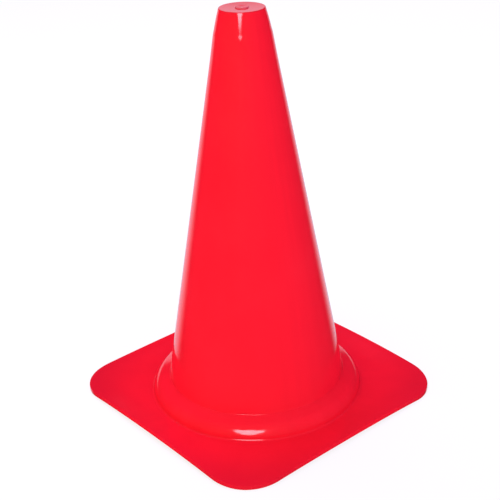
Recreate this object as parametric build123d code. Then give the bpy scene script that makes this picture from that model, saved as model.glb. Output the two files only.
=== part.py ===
from build123d import *
import math
import os

# Sports marker cone: a hollow moulded cone on a thin square plate.
# Millimetres, +Z up, origin in the middle of the underside.
# Every ring of the moulding is a section (radius, height) turned about the Z axis.

# Overall
total_height = 300.0            # floor to the flat tip
wall = 2.0                      # thickness of every moulded wall, square to its surface

# Square plate
plate_side = 209.0
plate_corner_radius = 33.0
plate_thickness = 3.0
plate_rim_radius = 0.4          # rounding of the plate's upper rim

# Raised collar between plate and cone
collar_foot_radius = 81.6       # where the collar's wall meets the top of the plate
collar_wall_height = 8.1        # plate top to the unrounded shoulder
collar_wall_draft = 9.6         # degrees from upright
collar_slope_height = 5.3       # unrounded shoulder up to the crease at the cone
collar_foot_fillet = 1.6
collar_shoulder_radius = 11.5   # the broad roll of the collar
crease_fillet = 1.0
collar_flange_width = 2.4       # from the wall's foot out to the seam with the plate
collar_neck_height = 2.6        # from the crease up to the seam with the cone

# Straight cone
cone_foot_radius = 68.0         # at the crease
cone_top_radius = 20.0          # where the nose starts

# Nose and tip
nose_height = 15.6
tip_radius = 16.1
tip_thickness = 2.5
tip_edge_radius = 0.5
nose_break_radius = 40.0        # the soft line between cone and nose

# Mark of the gate
gate_radius = 4.6
gate_height = 0.5
gate_edge_radius = 0.2

# Shares that roundings may use: of a straight run, between the two at its ends, and of a thickness
run_share = 0.97
thickness_share = 0.9

# Heights of the lines that divide the moulding
shoulder_height = plate_thickness + collar_wall_height
crease_height = shoulder_height + collar_slope_height
neck_height = crease_height + collar_neck_height
break_height = total_height - nose_height
tip_underside = total_height - tip_thickness
flange_radius = collar_foot_radius + collar_flange_width

draft_run = math.tan(math.radians(collar_wall_draft))


def offset_line(start, end, distance):
    """The line from start to end, moved sideways to its right by distance."""
    run = (end[0] - start[0], end[1] - start[1])
    length = math.hypot(run[0], run[1])
    side = (run[1] / length * distance, -run[0] / length * distance)
    return (start[0] + side[0], start[1] + side[1]), run


def crossing(first, second):
    """The point where two lines, each a point and a direction, cross."""
    (point, run), (other, other_run) = first, second
    bend = run[0] * other_run[1] - run[1] * other_run[0]
    gap = (other[0] - point[0], other[1] - point[1])
    along = (gap[0] * other_run[1] - gap[1] * other_run[0]) / bend
    return point[0] + along * run[0], point[1] + along * run[1]


def at_height(line, height):
    """The point of a line, a point and a direction, at a height."""
    return crossing(line, ((0.0, height), (1.0, 0.0)))


def rounded(points, radii):
    """A line through points, rounded at each corner between its ends by one of radii.
    Roundings that would overlap on a run shrink together until they fit."""
    runs = [math.dist(start, end) for start, end in zip(points, points[1:])]
    reaches = [0.0]
    for before, corner, after, radius in zip(points, points[1:], points[2:], radii):
        back = math.atan2(before[1] - corner[1], before[0] - corner[0])
        on = math.atan2(after[1] - corner[1], after[0] - corner[0])
        reaches.append(radius / math.tan(abs(math.remainder(on - back, math.tau)) / 2))
    reaches.append(0.0)
    shared = zip(runs, reaches, reaches[1:])
    fits = [min(1.0, run_share * run / (first + second)) for run, first, second in shared]
    limited = [radius * min(first, second) for radius, first, second in zip(radii, fits, fits[1:])]
    return FilletPolyline(*points, radius=limited)


def outer_corners():
    """Unrounded corners of the outside, from the tip's edge down to the wall's foot."""
    return [
        (tip_radius, total_height),
        (cone_top_radius, break_height),
        (cone_foot_radius, crease_height),
        (collar_foot_radius - collar_wall_height * draft_run, shoulder_height),
        (collar_foot_radius, plate_thickness),
    ]


def inner_corners():
    """Unrounded corners of the hollow, from its mouth up to the underside of the tip."""
    corners = outer_corners()
    lines = [offset_line(start, end, wall) for start, end in zip(corners, corners[1:])]
    nose_line, cone_line, slope_line, wall_line = lines
    return [
        at_height(wall_line, 0.0),
        crossing(wall_line, slope_line),
        crossing(slope_line, cone_line),
        crossing(cone_line, nose_line),
        at_height(nose_line, tip_underside),
    ]


def moulding_section():
    """Half of the section through cone and collar, in the XZ plane."""
    tip_centre = (0.0, total_height)
    flange_top = (flange_radius, plate_thickness)
    flange_foot = (flange_radius, 0.0)
    outside = rounded(
        [tip_centre, *outer_corners(), flange_top],
        [tip_edge_radius, nose_break_radius, crease_fillet, collar_shoulder_radius, collar_foot_fillet],
    )
    hollow = inner_corners()
    inside = rounded(hollow, [collar_shoulder_radius - wall, crease_fillet + wall, nose_break_radius])
    foot = Polyline(flange_top, flange_foot, hollow[0])
    crown = Polyline(hollow[-1], (0.0, tip_underside), tip_centre)
    return make_face(outside.edges() + foot.edges() + inside.edges() + crown.edges())


def ring(low, high):
    """The part of the moulding between two heights, turned about the Z axis."""
    height = high - low
    band = Pos(0.0, low) * Rectangle(plate_side, height, align=(Align.MIN, Align.MIN))
    section = moulding_section() & band
    return revolve(Plane.XZ * section, Axis.Z)


def base_plate():
    """Square plate with rounded corners, a rounded upper rim and a round hole for the collar."""
    outline = RectangleRounded(plate_side, plate_side, plate_corner_radius)
    plate = extrude(outline, plate_thickness)
    rim = plate.faces().sort_by(Axis.Z)[-1].edges()
    plate = fillet(rim, min(plate_rim_radius, thickness_share * plate_thickness))
    return plate - extrude(Circle(flange_radius), plate_thickness)


def foot_collar():
    """Flange, fillet, wall, rolled shoulder, sloping top and crease, up to the foot of the cone."""
    return ring(0.0, neck_height)


def cone_wall():
    """The long straight cone."""
    return ring(neck_height, break_height)


def nose_wall():
    """The faster tapering nose."""
    return ring(break_height, tip_underside)


def tip_disc():
    """Flat closed end of the nose."""
    return ring(tip_underside, total_height)


def gate_boss():
    """Low round boss in the middle of the tip."""
    boss = Pos(0.0, 0.0, total_height) * extrude(Circle(gate_radius), gate_height)
    edge = boss.edges().group_by(Axis.Z)[-1]
    return fillet(edge, min(gate_edge_radius, thickness_share * gate_height))


pieces = {
    "base_plate": base_plate,
    "foot_collar": foot_collar,
    "cone_wall": cone_wall,
    "nose_wall": nose_wall,
    "tip_disc": tip_disc,
    "gate_boss": gate_boss,
}

os.makedirs("parts", exist_ok=True)
for name, make in pieces.items():
    export_step(make(), f"parts/{name}.step")
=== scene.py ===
import math

import bmesh
import bpy
from mathutils import Matrix, Vector


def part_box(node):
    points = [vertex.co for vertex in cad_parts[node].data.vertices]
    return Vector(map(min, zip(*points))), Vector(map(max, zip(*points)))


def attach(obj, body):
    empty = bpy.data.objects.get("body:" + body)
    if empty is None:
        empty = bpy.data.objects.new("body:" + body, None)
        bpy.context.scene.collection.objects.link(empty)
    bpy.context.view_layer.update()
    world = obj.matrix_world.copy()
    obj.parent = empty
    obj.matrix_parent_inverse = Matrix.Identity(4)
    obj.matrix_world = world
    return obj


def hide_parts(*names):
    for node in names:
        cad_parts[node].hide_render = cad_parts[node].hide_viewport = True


# Sports marker cone in glossy red plastic, dressed around its solids.
# Each piece is one division of the moulding and stands where its solid stands. Metres, +Z up.
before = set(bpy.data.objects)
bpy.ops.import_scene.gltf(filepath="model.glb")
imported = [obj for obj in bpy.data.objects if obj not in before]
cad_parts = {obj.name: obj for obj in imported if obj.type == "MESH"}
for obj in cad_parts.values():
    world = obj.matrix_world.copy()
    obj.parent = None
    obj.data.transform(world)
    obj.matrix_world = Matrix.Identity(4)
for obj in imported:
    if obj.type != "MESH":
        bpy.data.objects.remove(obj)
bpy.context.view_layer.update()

mm = 0.001

# Sizes read from the solids
plate_low, plate_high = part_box("base_plate")
_, collar_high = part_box("foot_collar")
nose_low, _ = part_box("nose_wall")
tip_low, tip_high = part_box("tip_disc")
_, gate_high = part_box("gate_boss")
plate_side = plate_high.x - plate_low.x
underside = plate_low.z
plate_top = plate_high.z
flange_radius = collar_high.x
neck_height = collar_high.z
break_height = nose_low.z
tip_underside = tip_low.z
tip_height = tip_high.z
gate_radius = gate_high.x
gate_top = gate_high.z

# Sizes that a box doesn't give
wall = 2.0 * mm
plate_corner_radius = 33.0 * mm
plate_rim_radius = 0.4 * mm
collar_foot_radius = 81.6 * mm
collar_wall_height = 8.1 * mm
collar_wall_draft = math.radians(9.6)
collar_slope_height = 5.3 * mm
collar_foot_fillet = 1.6 * mm
collar_shoulder_radius = 11.5 * mm
crease_radius = 68.0 * mm
crease_fillet = 0.35 * mm
break_radius = 20.0 * mm
tip_radius = 16.1 * mm
tip_edge_radius = 0.5 * mm
tip_sink = 0.3 * mm
gate_edge_radius = 0.2 * mm
gate_brim = 1.2 * mm
gate_dish_depth = 0.12 * mm

# The nose swells a little between break and tip, and the cone's upper end stands proud of it
nose_start_slope = 0.20
lip = 0.2 * mm
lip_foot = break_height - 20 * mm
lip_crest = break_height - 2.4 * mm
lip_end = break_height + 1.6 * mm

# The plate's sides have curled up a little between the corners. Twist lifts the two Y sides over the X sides
# and lean lifts +Y over -Y. Spread carries the lift towards the corners, and ease starts it softly.
curl_height = 2.7 * mm
curl_twist = 0.70
curl_lean = 0.20
curl_spread = 0.7
curl_ease = 1.2

# How finely round things are divided
ring_steps = 256
corner_steps = 24
plate_rings = 8
rounding_steps = 10
curve_step = 0.8 * mm
smooth_angle = math.radians(34)

# How near two places count as one, how near the rim counts as on it, and how much of a normal has to
# point one way for its face to look that way
same_ring = 0.02 * mm
same_point = 0.001 * mm
rim_margin = 1.0 * mm
facing = 0.5

# Camera, from the photograph's perspective
camera_place = Vector((558.9, -468.0, 468.2)) * mm
camera_aim = Vector((-0.8, -0.9, 117.8)) * mm
camera_roll = math.radians(-2.35)
focal_pixels = 1081
picture_pixels = 500
sensor_width = 36.0
behind = Vector((camera_aim.x - camera_place.x, camera_aim.y - camera_place.y, 0)).normalized()
to_left = Vector((-behind.y, behind.x, 0))


# Lines of the section, each a point (radius, height) and a direction

def crossing(first, second):
    """The point where two lines cross."""
    (point, run), (other, other_run) = first, second
    bend = run[0] * other_run[1] - run[1] * other_run[0]
    gap = (other[0] - point[0], other[1] - point[1])
    along = (gap[0] * other_run[1] - gap[1] * other_run[0]) / bend
    return point[0] + along * run[0], point[1] + along * run[1]


def at_height(line, height):
    """The point of a line at a height."""
    return crossing(line, ((0.0, height), (1.0, 0.0)))


def inner_line(start, end):
    """The line from start up to end, moved inwards by the wall's thickness."""
    run = (end[0] - start[0], end[1] - start[1])
    length = math.hypot(*run)
    return (start[0] - run[1] / length * wall, start[1] + run[0] / length * wall), run


seam_radius = collar_foot_radius + collar_foot_fillet
shoulder_height = plate_top + collar_wall_height
shoulder_radius = collar_foot_radius - collar_wall_height * math.tan(collar_wall_draft)
foot_corner = (collar_foot_radius, plate_top)
shoulder_corner = (shoulder_radius, shoulder_height)
crease_corner = (crease_radius, shoulder_height + collar_slope_height)
break_corner = (break_radius, break_height)

cone_slope = (crease_radius - break_radius) / (break_height - crease_corner[1])
nose_height = tip_height - break_height
nose_bend = (break_radius - tip_radius - nose_start_slope * nose_height) / nose_height ** 2

collar_wall_inside = inner_line(foot_corner, shoulder_corner)
collar_slope_inside = inner_line(shoulder_corner, crease_corner)
cone_inside = inner_line(crease_corner, break_corner)


def ease(low, high, value):
    """0 below low, 1 above high, and a smooth change between them."""
    share = min(max((value - low) / (high - low), 0.0), 1.0)
    return share * share * (3 - 2 * share)


def outer_radius(height):
    """Radius of the outside at a height of the cone, the nose or the tip."""
    rise = height - break_height
    proud = lip * ease(lip_foot, lip_crest, height) * (1 - ease(lip_crest, lip_end, height))
    if rise < 0:
        return break_radius - cone_slope * rise + proud
    return break_radius - nose_start_slope * rise - nose_bend * rise ** 2 + proud


def outside(low, high):
    """Points of the outside between two heights, from the lower one up."""
    steps = math.ceil((high - low) / curve_step)
    heights = [low + (high - low) * step / steps for step in range(steps + 1)]
    return [(outer_radius(height), height) for height in heights]


# Modelling

def select_nothing():
    """Leaves edit mode and selects nothing, so that operators act on the next piece alone."""
    if bpy.context.object and bpy.context.object.mode == "EDIT":
        bpy.ops.object.mode_set(mode="OBJECT")
    bpy.ops.object.select_all(action="DESELECT")


def select_where(kind, test):
    """Selects the edges or faces of the piece in edit mode that pass a test."""
    bpy.ops.mesh.select_mode(type={"edges": "EDGE", "faces": "FACE"}[kind])
    bpy.ops.mesh.select_all(action="DESELECT")
    mesh = bpy.context.object.data
    shape = bmesh.from_edit_mesh(mesh)
    for element in getattr(shape, kind):
        element.select_set(test(element))
    bmesh.update_edit_mesh(mesh)


def select_rings(*rings):
    """Selects the edges of rings, each a radius and a height."""

    def on_ring(vert, ring):
        radius, height = ring
        return abs(vert.co.xy.length - radius) < same_ring and abs(vert.co.z - height) < same_ring

    def on_a_ring(edge):
        return any(all(on_ring(vert, ring) for vert in edge.verts) for ring in rings)

    select_where("edges", on_a_ring)


def bevel(offset, segments, affect="EDGES"):
    """Rounds the selected edges or corners."""
    bpy.ops.mesh.bevel(
        offset=offset, offset_type="OFFSET", segments=segments,
        profile=0.5, affect=affect, clamp_overlap=False,
    )


def round_ring(before, corner, after, radius):
    """Rounds the ring at a corner of the outline."""
    back = Vector(before) - Vector(corner)
    on = Vector(after) - Vector(corner)
    select_rings(corner)
    bevel(radius / math.tan(back.angle(on) / 2), rounding_steps)


def pulled(name, outline):
    """A new piece in edit mode: a circle at the outline's first point, pulled on from point to point."""
    select_nothing()
    bpy.ops.mesh.primitive_circle_add(vertices=ring_steps, radius=outline[0][0])
    bpy.context.object.name = name
    bpy.ops.object.mode_set(mode="EDIT")
    bpy.ops.mesh.select_mode(type="EDGE")
    bpy.ops.mesh.select_all(action="SELECT")
    bpy.ops.transform.translate(value=(0, 0, outline[0][1]))
    for before, point in zip(outline, outline[1:]):
        bpy.ops.mesh.extrude_region_move(TRANSFORM_OT_translate={"value": (0, 0, point[1] - before[1])})
        growth = point[0] / before[0]
        bpy.ops.transform.resize(value=(growth, growth, 1))


def turned(name, outline, roundings):
    """A closed ring, its last circle joined to its first."""
    pulled(name, outline)
    select_rings(outline[0], outline[-1])
    bpy.ops.mesh.bridge_edge_loops()
    return rounded(outline, roundings)


def capped(name, outline, roundings):
    """A solid disc, its first and last circles drawn together in the middle."""
    pulled(name, outline)
    for end in (outline[0], outline[-1]):
        select_rings(end)
        bpy.ops.mesh.extrude_region_move()
        bpy.ops.mesh.merge(type="CENTER")
    return rounded(outline, roundings)


def rounded(outline, roundings):
    """The piece in edit mode, finished, with the corners of its outline rounded."""
    for corner, radius in roundings.items():
        place = outline.index(corner)
        round_ring(outline[place - 1], corner, outline[(place + 1) % len(outline)], radius)
    return finished()


def finished():
    """The piece in edit mode without doubles, its faces outwards, smooth all but for its real edges."""
    bpy.ops.mesh.select_all(action="SELECT")
    bpy.ops.mesh.remove_doubles(threshold=same_point)
    bpy.ops.mesh.normals_make_consistent(inside=False)
    bpy.ops.object.mode_set(mode="OBJECT")
    bpy.ops.object.shade_smooth_by_angle(angle=smooth_angle)
    return bpy.context.object


def plate():
    """Square plate with rounded corners, a round hole for the collar, a rounded rim and curled sides."""
    select_nothing()
    bpy.ops.mesh.primitive_plane_add(size=plate_side)
    bpy.context.object.name = "plate"
    bpy.ops.object.mode_set(mode="EDIT")
    bpy.ops.mesh.delete(type="ONLY_FACE")
    bpy.ops.mesh.select_all(action="SELECT")
    bevel(plate_corner_radius, corner_steps, affect="VERTICES")
    select_where("edges", lambda edge: edge.calc_length() > plate_corner_radius)
    bpy.ops.mesh.subdivide(number_cuts=ring_steps // 4 - corner_steps - 1)
    bpy.ops.mesh.primitive_circle_add(vertices=ring_steps, radius=seam_radius)
    bpy.ops.mesh.select_all(action="SELECT")
    bpy.ops.mesh.bridge_edge_loops(number_cuts=plate_rings, interpolation="LINEAR")
    bpy.ops.mesh.select_all(action="SELECT")
    bpy.ops.mesh.extrude_region_move(TRANSFORM_OT_translate={"value": (0, 0, plate_top - underside)})

    def on_upper_rim(edge):
        upright = [face for face in edge.link_faces if abs(face.normal.z) < facing]
        beyond_hole = all(vert.co.xy.length > seam_radius + rim_margin for vert in edge.verts)
        at_top = all(vert.co.z > plate_top - rim_margin for vert in edge.verts)
        return beyond_hole and at_top and len(upright) == 1

    select_where("edges", on_upper_rim)
    bevel(plate_rim_radius, rounding_steps)
    return curled(finished())


def lift(place):
    """How far the plate has curled up at a place: hardly at the collar and corners, most at mid-side."""
    half_side = plate_side / 2
    corner_reach = (half_side - plate_corner_radius) * math.sqrt(2) + plate_corner_radius
    share = (max(abs(place.x), abs(place.y)) - flange_radius) / (half_side - flange_radius)
    rise = max(corner_reach ** 2 - place.xy.length_squared, 0) / (corner_reach ** 2 - half_side ** 2)
    lean = 1 + curl_lean * place.y / half_side
    twist = curl_twist * place.xy.dot(behind.xy) * place.xy.dot(-to_left.xy) / half_side ** 2
    return curl_height * max(lean * rise ** curl_spread + twist, 0) * max(share, 0) ** curl_ease


def curled(piece):
    """The plate with its sides lifted between the corners."""
    group = piece.vertex_groups.new(name="curl")
    highest = max(lift(vertex.co) for vertex in piece.data.vertices)
    for vertex in piece.data.vertices:
        group.add([vertex.index], lift(vertex.co) / highest, "REPLACE")
    curl = piece.modifiers.new("curl", "DISPLACE")
    curl.vertex_group = group.name
    curl.direction = "Z"
    curl.mid_level = 0
    curl.strength = highest
    bpy.ops.object.modifier_apply(modifier=curl.name)
    piece.vertex_groups.clear()
    return piece


def collar():
    """Narrow flange, fillet, wall, rolled shoulder, sloping top and crease, hollow from below."""
    neck_outside = (outer_radius(neck_height), neck_height)
    neck_inside = at_height(cone_inside, neck_height)
    crease_inside = crossing(collar_slope_inside, cone_inside)
    shoulder_inside = crossing(collar_wall_inside, collar_slope_inside)
    mouth = at_height(collar_wall_inside, underside)
    outline = [
        (seam_radius, underside), (seam_radius, plate_top),
        foot_corner, shoulder_corner, crease_corner, neck_outside,
        neck_inside, crease_inside, shoulder_inside, mouth,
    ]
    roundings = {
        foot_corner: collar_foot_fillet,
        shoulder_corner: collar_shoulder_radius,
        crease_corner: crease_fillet,
        crease_inside: crease_fillet + wall,
        shoulder_inside: collar_shoulder_radius - wall,
    }
    return turned("collar", outline, roundings)


def cone():
    """The long straight cone, with its slightly proud upper end."""
    foot = (outer_radius(neck_height), neck_height)
    inside = [at_height(cone_inside, break_height), at_height(cone_inside, neck_height)]
    return turned("cone", [foot] + outside(lip_foot, break_height) + inside, {})


def nose():
    """The faster tapering nose."""
    top_inside = (outer_radius(tip_underside) - wall, tip_underside)
    inside = [top_inside, at_height(cone_inside, break_height)]
    return turned("nose", outside(break_height, tip_underside) + inside, {})


def sunk_tip(radius):
    """Height of the tip's face at a radius."""
    return tip_height - tip_sink * (1 - (radius / tip_radius) ** 2)


def tip():
    """Closed end of the nose, sunk a little in the middle as the plastic shrank."""
    edge = (tip_radius, tip_height)
    outline = [(outer_radius(tip_underside), tip_underside), edge]
    face_radius = tip_radius - wall
    for step in range(rounding_steps):
        radius = face_radius + (gate_radius - face_radius) * step / (rounding_steps - 1)
        outline.append((radius, sunk_tip(radius)))
    return capped("tip", outline, {edge: tip_edge_radius})


def gate():
    """Low round boss with a soft edge, dished where the gate was cut off."""
    edge = (gate_radius, gate_top)
    brim = (gate_radius - gate_brim, gate_top)
    dish = (gate_radius - 2 * gate_brim, gate_top - gate_dish_depth)
    outline = [(gate_radius, sunk_tip(gate_radius)), edge, brim, dish]
    return capped("gate", outline, {edge: gate_edge_radius})


# Shader expressions

# Keeps a length from being nothing, because others are divided by it
least_square = 1e-8

# The Mix node's sockets for colours
mix_first = 6
mix_second = 7
mix_result = 2


class Wire:
    """An output in a node tree. Sums and products of wires and numbers add Math nodes to the tree."""

    def __init__(self, tree, socket=None):
        self.tree = tree
        self.socket = socket

    def node(self, kind, settings=None, sockets=None, out=0):
        """Adds a node, with its settings first and then the values or wires of its sockets."""
        made = self.tree.nodes.new(kind)
        for name, value in (settings or {}).items():
            setattr(made, name, value)
        for name, value in (sockets or {}).items():
            if isinstance(value, Wire):
                self.tree.links.new(value.socket, made.inputs[name])
            else:
                made.inputs[name].default_value = value
        return Wire(self.tree, made.outputs[out] if made.outputs else None)

    def maths(self, operation, first, second=0.0):
        """One operation on wires or numbers."""
        return self.node("ShaderNodeMath", {"operation": operation}, {0: first, 1: second})

    def __add__(self, other):
        return self.maths("ADD", self, other)

    def __sub__(self, other):
        return self.maths("SUBTRACT", self, other)

    def __rsub__(self, other):
        return self.maths("SUBTRACT", other, self)

    def __mul__(self, other):
        return self.maths("MULTIPLY", self, other)

    def __truediv__(self, other):
        return self.maths("DIVIDE", self, other)

    __radd__ = __add__
    __rmul__ = __mul__

    def between(self, low, high):
        """A smooth step from 0 at low to 1 at high."""
        return self.node(
            "ShaderNodeMapRange", {"interpolation_type": "SMOOTHSTEP"},
            {"Value": self, "From Min": low, "From Max": high},
        )

    def part(self, axis):
        """The X, Y or Z of a vector."""
        return self.node("ShaderNodeSeparateXYZ", None, {0: self}, "XYZ".index(axis))

    def mixed(self, first, second):
        """The colour first where this is 0, second where it is 1."""
        sockets = {0: self, mix_first: first, mix_second: second}
        return self.node("ShaderNodeMix", {"data_type": "RGBA"}, sockets, mix_result)


def vector(x, y, z):
    """A vector from wires and numbers, the first of them a wire."""
    return x.node("ShaderNodeCombineXYZ", None, {"X": x, "Y": y, "Z": z})


def diagonal(first, second):
    """Length of the diagonal over two wires, never quite nothing."""
    return first.maths("POWER", first * first + second * second + least_square, 0.5)


def tree_of(owner):
    """An empty node tree to wire."""
    owner.use_nodes = True
    owner.node_tree.nodes.clear()
    return Wire(owner.node_tree)


def show(start, shader):
    """Gives the shader to the surface of a material."""
    start.node("ShaderNodeOutputMaterial", None, {"Surface": shader})


# Finishes

red = (0.87, 0.0080, 0.0230, 1)
deep_red = (0.84, 0.0077, 0.0222, 1)
# Darker red: painted shade on the plate's corners, and used on the tip's face and in the gate's marks
darkened_red = (0.68, 0.0070, 0.0215, 1)
inside_red = (0.78, 0.010, 0.026, 1)
cut_red = (0.74, 0.024, 0.042, 1)
pale_red = (0.70, 0.12, 0.17, 1)
plastic_index = 1.5

# Roughness of each finish, and how much its patterns add to it
gloss_roughness = 0.09
haze_roughness = 0.03
flow_roughness = 0.02
satin_roughness = 0.36
grain_roughness = 0.12
cut_roughness = 0.16
tear_roughness = 0.12

# Painted shade darkens the plate from here out to its corners
corner_shade_start = 90 * mm
corner_shade_full = 135 * mm

# Features of each noise in a metre
haze_scale = 22.0
skin_scale = 900.0
grain_scale = 1500.0
tear_scale = 1100.0

# Streaks of the flow: how closely they lie side by side, and how fast they change along their way
flow_spread = 7
flow_change = 5

# Mottle of the outside: the flow lines' share in it, the rest being haze
flow_share = 0.6

# Levels between which a pattern passes from one colour or roughness to another
outer_mottle = (0.36, 0.62)
inner_mottle = (0.35, 0.65)
haze_patches = (0.45, 0.75)
tear_marks = (0.35, 0.70)

# Relief: the depth of a moulded and a torn surface, the patterns' shares in it, and how strongly it shows
moulded_depth = 1.0 * mm
torn_depth = 0.1 * mm
flow_relief = 0.03
skin_relief = 0.006
grain_relief = 0.01
outer_bump = 0.5
hidden_bump = 0.6
gate_bump = 0.5


def noise(point, scale, detail=2.0, roughness=0.5):
    """Soft noise from 0 to 1 about a point of the surface, its features a scale-th of a metre wide."""
    sockets = {"Vector": point, "Scale": scale, "Detail": detail, "Roughness": roughness}
    return point.node("ShaderNodeTexNoise", None, sockets)


def radius_at(point):
    """Distance of a point from the cone's axis."""
    return diagonal(point.part("X"), point.part("Y"))


def flow_lines(point):
    """Streaks from the gate down the cone and out over the plate, as the plastic filled the mould."""
    radius = radius_at(point)
    around_x = point.part("X") / radius * flow_spread
    around_y = point.part("Y") / radius * flow_spread
    along = (radius - point.part("Z")) * flow_change
    return noise(vector(around_x, around_y, along), 1.0, detail=3.0, roughness=0.55)


def plastic(recipe, bump, depth):
    """A finish. Its recipe turns a point of the surface into a colour, a roughness and a relief."""
    material = bpy.data.materials.new(recipe.__name__)
    start = tree_of(material)
    colour, roughness, relief = recipe(start.node("ShaderNodeTexCoord", out="Object"))
    normal = start.node("ShaderNodeBump", None, {"Strength": bump, "Distance": depth, "Height": relief})
    shader = start.node("ShaderNodeBsdfPrincipled", None, {
        "Base Color": colour, "Roughness": roughness, "Normal": normal, "IOR": plastic_index,
    })
    show(start, shader)
    return material


def glossy_red(point):
    """The moulded outside: bright and even, with faint flow lines, a soft haze and a fine skin.
    The plate's corners are darkened with painted shade, and the tip's face to the same deeper red."""
    flow = flow_lines(point)
    haze = noise(point, haze_scale, detail=4.0, roughness=0.6)
    skin = noise(point, skin_scale)
    # Painted shade, darkening the plate towards its corners
    corner_shade = radius_at(point).between(corner_shade_start, corner_shade_full)
    # The tip's face is darkened to the same deeper red
    at_tip = point.part("Z").between(tip_height - 2 * tip_sink, tip_height - tip_sink)
    mottle = flow * flow_share + haze * (1 - flow_share)
    colour = mottle.between(*outer_mottle).mixed(deep_red, red)
    colour = at_tip.mixed(corner_shade.mixed(colour, darkened_red), darkened_red)
    hazy = haze.between(*haze_patches)
    roughness = gloss_roughness + hazy * haze_roughness + flow * flow_roughness
    return colour, roughness, flow * flow_relief + skin * skin_relief


def satin_red(point):
    """The inside and underside, drawn off a satin core: fine lines along the draw and a soft sheen."""
    flow = flow_lines(point)
    grain = noise(point, grain_scale, detail=3.0)
    colour = ((flow + grain) / 2).between(*inner_mottle).mixed(deep_red, inside_red)
    roughness = satin_roughness + grain * grain_roughness
    return colour, roughness, flow * flow_relief + grain * grain_relief


def gate_cut(point):
    """The cut face of the gate: dull, torn plastic with pale stress marks, palest round its edge."""
    tear = noise(point, tear_scale, detail=5.0, roughness=0.65)
    at_edge = radius_at(point).between(gate_radius - gate_edge_radius, gate_radius)
    colour = at_edge.mixed(tear.between(*tear_marks).mixed(darkened_red, cut_red), pale_red)
    return colour, cut_roughness + tear * tear_roughness, tear


def in_or_under(face):
    """Whether a face looks into the hollow or at the ground."""
    middle = face.calc_center_median()
    inwards = face.normal.xy.dot(middle.xy) < -facing * middle.xy.length
    return inwards or face.normal.z < -facing


def dress(piece, node, finish, finish_within):
    """Gives a piece its finishes and its place on the part."""
    piece.data.materials.append(finish)
    piece.data.materials.append(finish_within)
    select_nothing()
    bpy.context.view_layer.objects.active = piece
    bpy.ops.object.mode_set(mode="EDIT")
    select_where("faces", in_or_under)
    piece.active_material_index = 1
    bpy.ops.object.material_slot_assign()
    bpy.ops.object.mode_set(mode="OBJECT")
    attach(piece, "root")
    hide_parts(node)


outer_finish = plastic(glossy_red, outer_bump, moulded_depth)
hidden_finish = plastic(satin_red, hidden_bump, moulded_depth)
gate_finish = plastic(gate_cut, gate_bump, torn_depth)
dress(plate(), "base_plate", outer_finish, hidden_finish)
dress(collar(), "foot_collar", outer_finish, hidden_finish)
dress(cone(), "cone_wall", outer_finish, hidden_finish)
dress(nose(), "nose_wall", outer_finish, hidden_finish)
dress(tip(), "tip_disc", outer_finish, hidden_finish)
dress(gate(), "gate_boss", gate_finish, gate_finish)


# Camera

def aimed(place, aim, roll=0.0):
    """A matrix that stands at a place and looks at a point."""
    turn = (aim - place).to_track_quat("-Z", "Y").to_matrix().to_4x4()
    return Matrix.Translation(place) @ turn @ Matrix.Rotation(roll, 4, "Z")


camera_data = bpy.data.cameras.new("camera")
camera_data.sensor_width = sensor_width
camera_data.lens = focal_pixels / picture_pixels * sensor_width
camera = bpy.data.objects.new("camera", camera_data)
camera.matrix_world = aimed(camera_place, camera_aim, camera_roll)
bpy.context.collection.objects.link(camera)
bpy.context.scene.camera = camera

# Studio: soft light all round, a white sweep behind, dark sides, a soft box in front, a lamp overhead

# What glossy surfaces mirror: the sweep is full up to one angle from its middle and gone beyond another.
# Its top, in heights on a sphere of radius 1, falls to the sides.
cool_white = (0.98, 0.95, 1.10, 1)
dark_level = 0.015
sweep_level = 0.8
sweep_turn = math.radians(4)
sweep_full = math.radians(28)
sweep_edge = math.radians(54)
sweep_top_full = 0.28
sweep_top = 0.42
sweep_drop = 0.65

# Soft light from all round, stronger from the left and the front, and warmer there
ambient_level = 0.96
ambient_left = 0.24
ambient_front = 0.82
warm_fill = (1.0, 1.0, 0.55, 1)
cool_fill = (1.0, 0.84, 2.0, 1)
fill_middle = 0.5
fill_change = 0.35

# Soft box: its place as seen from the cone, then the shares of its height where its taper and fade end.
# The taper's sides bow out, and their blur is in shares of the half width.
softbox_turn = math.radians(-11)
softbox_low = math.radians(8.4)
softbox_high = math.radians(42.5)
softbox_distance = 6.0
softbox_half_width = 1.42
softbox_level = 10.0
softbox_point = 0.60
softbox_bow = 0.8
softbox_fade = 0.33
softbox_blur_in = 0.08
softbox_blur_out = 0.02

top_lamp_place = behind * 0.60 + to_left * 0.20 + Vector((0, 0, 0.95))
top_lamp_size = 0.7
top_lamp_level = 3.0
top_lamp_colour = (1.0, 0.9, 1.9)

floor_size = 12.0
floor_white = (0.96, 0.96, 0.96, 1)
floor_shadow_share = 0.22


def level_part(direction, way):
    """How far a direction goes along a level way."""
    return direction.part("X") * way.x + direction.part("Y") * way.y


def sweep(direction):
    """How much of the white sweep lies in a direction: broad and low, highest nearly straight behind."""
    turn = Matrix.Rotation(sweep_turn, 3, "Z")
    along = level_part(direction, turn @ behind)
    across = level_part(direction, turn @ to_left)
    ahead = (along / diagonal(along, across)).between(math.cos(sweep_edge), math.cos(sweep_full))
    arch = direction.part("Z") + direction.maths("ABSOLUTE", across) * sweep_drop
    return ahead * (1 - arch.between(sweep_top_full, sweep_top))


def is_ray(start, kind):
    """Whether a ray is of a kind, such as Camera or Glossy."""
    return start.node("ShaderNodeLightPath", out=f"Is {kind} Ray")


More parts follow.
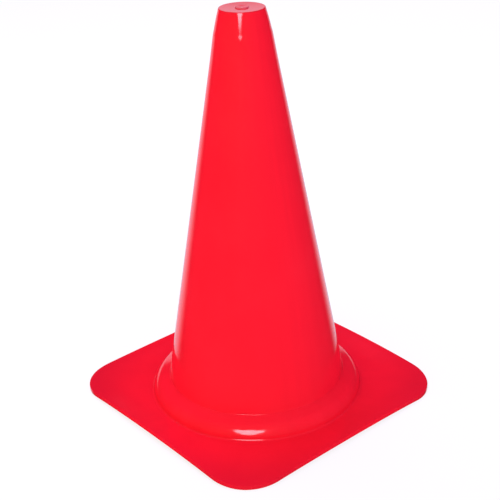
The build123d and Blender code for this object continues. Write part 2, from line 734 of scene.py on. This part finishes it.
def studio_world():
    """White to the camera, the sweep and dark sides in reflections, and soft light for the rest."""
    world = bpy.data.worlds.new("studio")
    bpy.context.scene.world = world
    start = tree_of(world)
    direction = start.node("ShaderNodeTexCoord", out="Generated")
    left = level_part(direction, to_left)
    front = level_part(direction, -behind)
    ambient = ambient_level + left * ambient_left + front * ambient_front
    fill = ((left + front) * fill_change + fill_middle).mixed(cool_fill, warm_fill)
    level = dark_level + sweep(direction) * (sweep_level - dark_level)
    soft = start.node("ShaderNodeBackground", None, {"Color": fill, "Strength": ambient})
    mirrored = start.node("ShaderNodeBackground", None, {"Color": cool_white, "Strength": level})
    white = start.node("ShaderNodeBackground", None, {"Color": (1, 1, 1, 1), "Strength": 1.0})
    shader = start.node("ShaderNodeMixShader", None, {0: is_ray(start, "Glossy"), 1: soft, 2: mirrored})
    shader = start.node("ShaderNodeMixShader", None, {0: is_ray(start, "Camera"), 1: shader, 2: white})
    start.node("ShaderNodeOutputWorld", None, {"Surface": shader})


def pale_floor():
    """Plain pale floor: white to the camera, with the object's soft shadow.
    Reflections see the world instead."""
    select_nothing()
    bpy.ops.mesh.primitive_plane_add(size=floor_size, location=(0, 0, underside))
    floor = bpy.context.object
    floor.name = "floor"
    floor.visible_glossy = False
    material = bpy.data.materials.new("pale_floor")
    start = tree_of(material)
    paper = start.node("ShaderNodeBsdfDiffuse", None, {"Color": floor_white})
    white = start.node("ShaderNodeEmission", None, {"Strength": 1.0})
    to_camera = start.node("ShaderNodeMixShader", None, {0: floor_shadow_share, 1: white, 2: paper})
    shader = start.node("ShaderNodeMixShader", None, {0: is_ray(start, "Camera"), 1: paper, 2: to_camera})
    show(start, shader)
    floor.data.materials.append(material)


def area_lamp(name, place, aim, width, height, level):
    """An area lamp of even brightness, its level the brightness of its face."""
    lamp = bpy.data.lights.new(name, "AREA")
    lamp.shape = "RECTANGLE"
    lamp.size = width
    lamp.size_y = height
    lamp.energy = level * math.pi * width * height
    holder = bpy.data.objects.new(name, lamp)
    holder.matrix_world = aimed(place, aim)
    bpy.context.collection.objects.link(holder)
    return holder


def keep_off(holder, piece):
    """Keeps a lamp's light off one piece, as a studio flag does."""
    unlit = bpy.data.collections.new("unlit")
    unlit.objects.link(piece)
    unlit.collection_objects[0].light_linking.link_state = "EXCLUDE"
    holder.light_linking.receiver_collection = unlit


def softbox():
    """Tall soft box in front, tapering to a point and fading at its foot.
    It shows in reflections alone, and not in the plate's."""
    rise = (softbox_low + softbox_high) / 2
    height = 2 * softbox_distance * math.tan((softbox_high - softbox_low) / 2)
    front = Matrix.Rotation(softbox_turn, 3, "Z") @ -behind
    away = front * math.cos(rise) + Vector((0, 0, math.sin(rise)))
    aim = Vector((0, 0, (underside + tip_height) / 2))
    place = aim + away * softbox_distance
    holder = area_lamp("softbox", place, aim, 2 * softbox_half_width, height, softbox_level)
    holder.visible_diffuse = False
    keep_off(holder, bpy.data.objects["plate"])
    start = tree_of(holder.data)
    spot = start.node("ShaderNodeNewGeometry", out="Parametric")
    off_centre = start.maths("ABSOLUTE", spot.part("X") * 2 - 1)
    reach = start.maths("POWER", spot.part("Y") / softbox_point, softbox_bow)
    inside = 1 - off_centre.between(reach - softbox_blur_in, reach + softbox_blur_out)
    strength = inside * spot.part("Y").between(0, softbox_fade)
    light = start.node("ShaderNodeEmission", None, {"Color": cool_white, "Strength": strength})
    start.node("ShaderNodeOutputLight", None, {"Surface": light})


def top_lamp():
    """Large lamp overhead, behind to the left, for the soft shading of plate and cone."""
    aim = Vector((0, 0, underside))
    holder = area_lamp("top_lamp", top_lamp_place, aim, top_lamp_size, top_lamp_size, top_lamp_level)
    holder.data.color = top_lamp_colour
    holder.visible_glossy = False


studio_world()
pale_floor()
softbox()
top_lamp()
bpy.context.scene.view_settings.view_transform = "Standard"
